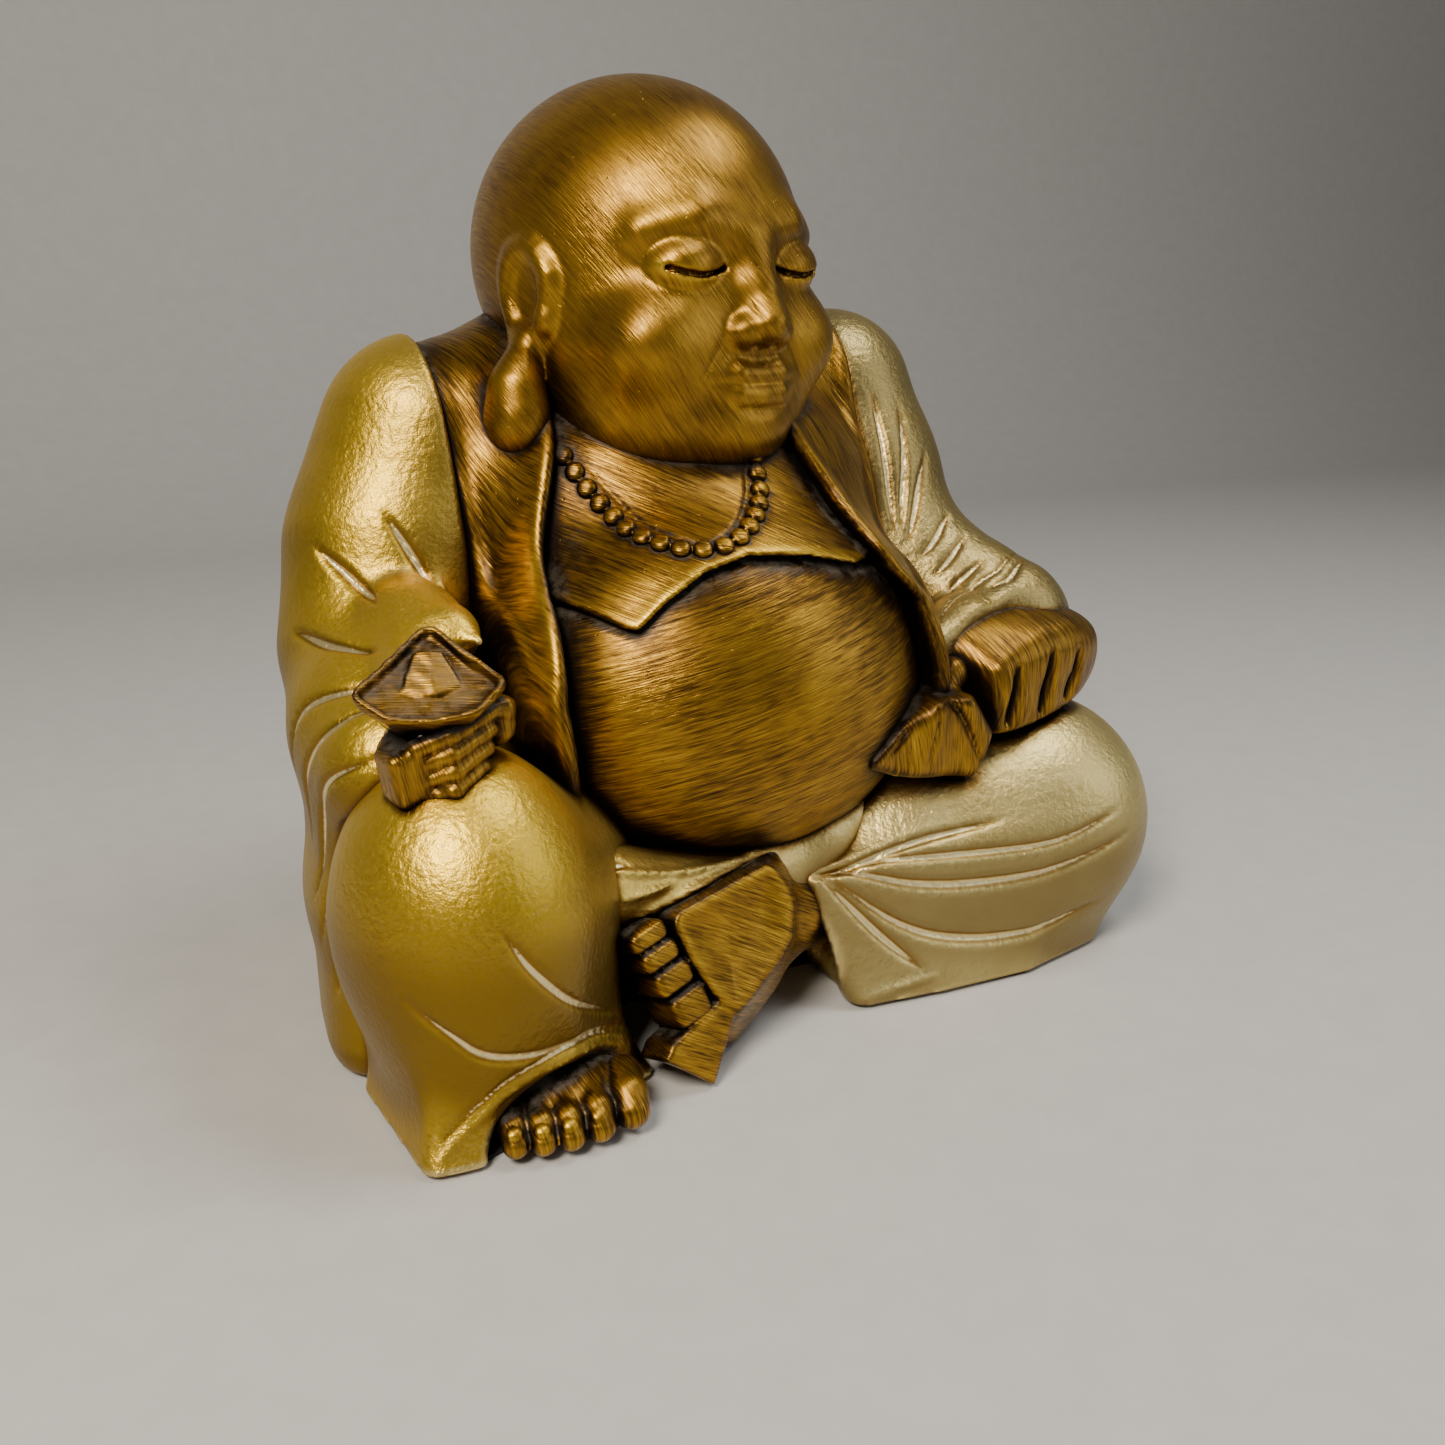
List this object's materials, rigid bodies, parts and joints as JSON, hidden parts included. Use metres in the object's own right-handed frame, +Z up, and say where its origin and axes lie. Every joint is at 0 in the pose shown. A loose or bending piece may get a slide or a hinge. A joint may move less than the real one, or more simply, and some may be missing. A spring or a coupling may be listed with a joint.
{
  "type": "buddha statue",
  "caption": "Seated laughing Buddha ornament in cast resin: bald head with long ear lobes, open vest, gold robe, round belly, an ingot on the right knee.",
  "frame": {"origin": "on the table under the lap, on the underside of the felt sole", "axes": "+Z up, the figure faces -Y, its own left hand is on +X"},
  "size_m": [0.309, 0.22, 0.297],
  "materials": {
    "antique_paint": "cast resin with antiqued brown-gold paint, satin",
    "gold_paint": "cast resin with smooth metallic gold paint, satin",
    "dowel_rod": "plain steel rod",
    "board": "raw fibreboard",
    "felt": "black felt"
  },
  "bodies": {
    "root": {"head": "antique_paint", "torso": "antique_paint", "under_robe": "antique_paint", "vest_right": "antique_paint", "vest_left": "antique_paint", "hand_right": "antique_paint", "hand_left": "antique_paint", "ingot": "antique_paint", "sack_neck": "antique_paint", "foot_right": "antique_paint", "foot_left": "antique_paint", "bead_string": "antique_paint", "sleeve_right": "gold_paint", "sleeve_left": "gold_paint", "trouser_right": "gold_paint", "trouser_left": "gold_paint", "lap_fold": "gold_paint", "robe_back": "gold_paint", "neck_dowel": "dowel_rod", "back_dowel_upper": "dowel_rod", "back_dowel_lower": "dowel_rod", "arm_dowel_right": "dowel_rod", "arm_dowel_left": "dowel_rod", "leg_dowel_right": "dowel_rod", "leg_dowel_left": "dowel_rod", "wrist_dowel_right": "dowel_rod", "wrist_dowel_left": "dowel_rod", "ankle_dowel_right": "dowel_rod", "ankle_dowel_left": "dowel_rod", "ingot_dowel": "dowel_rod", "base_board": "board", "felt_sole": "felt"}
  },
  "joints": []
}
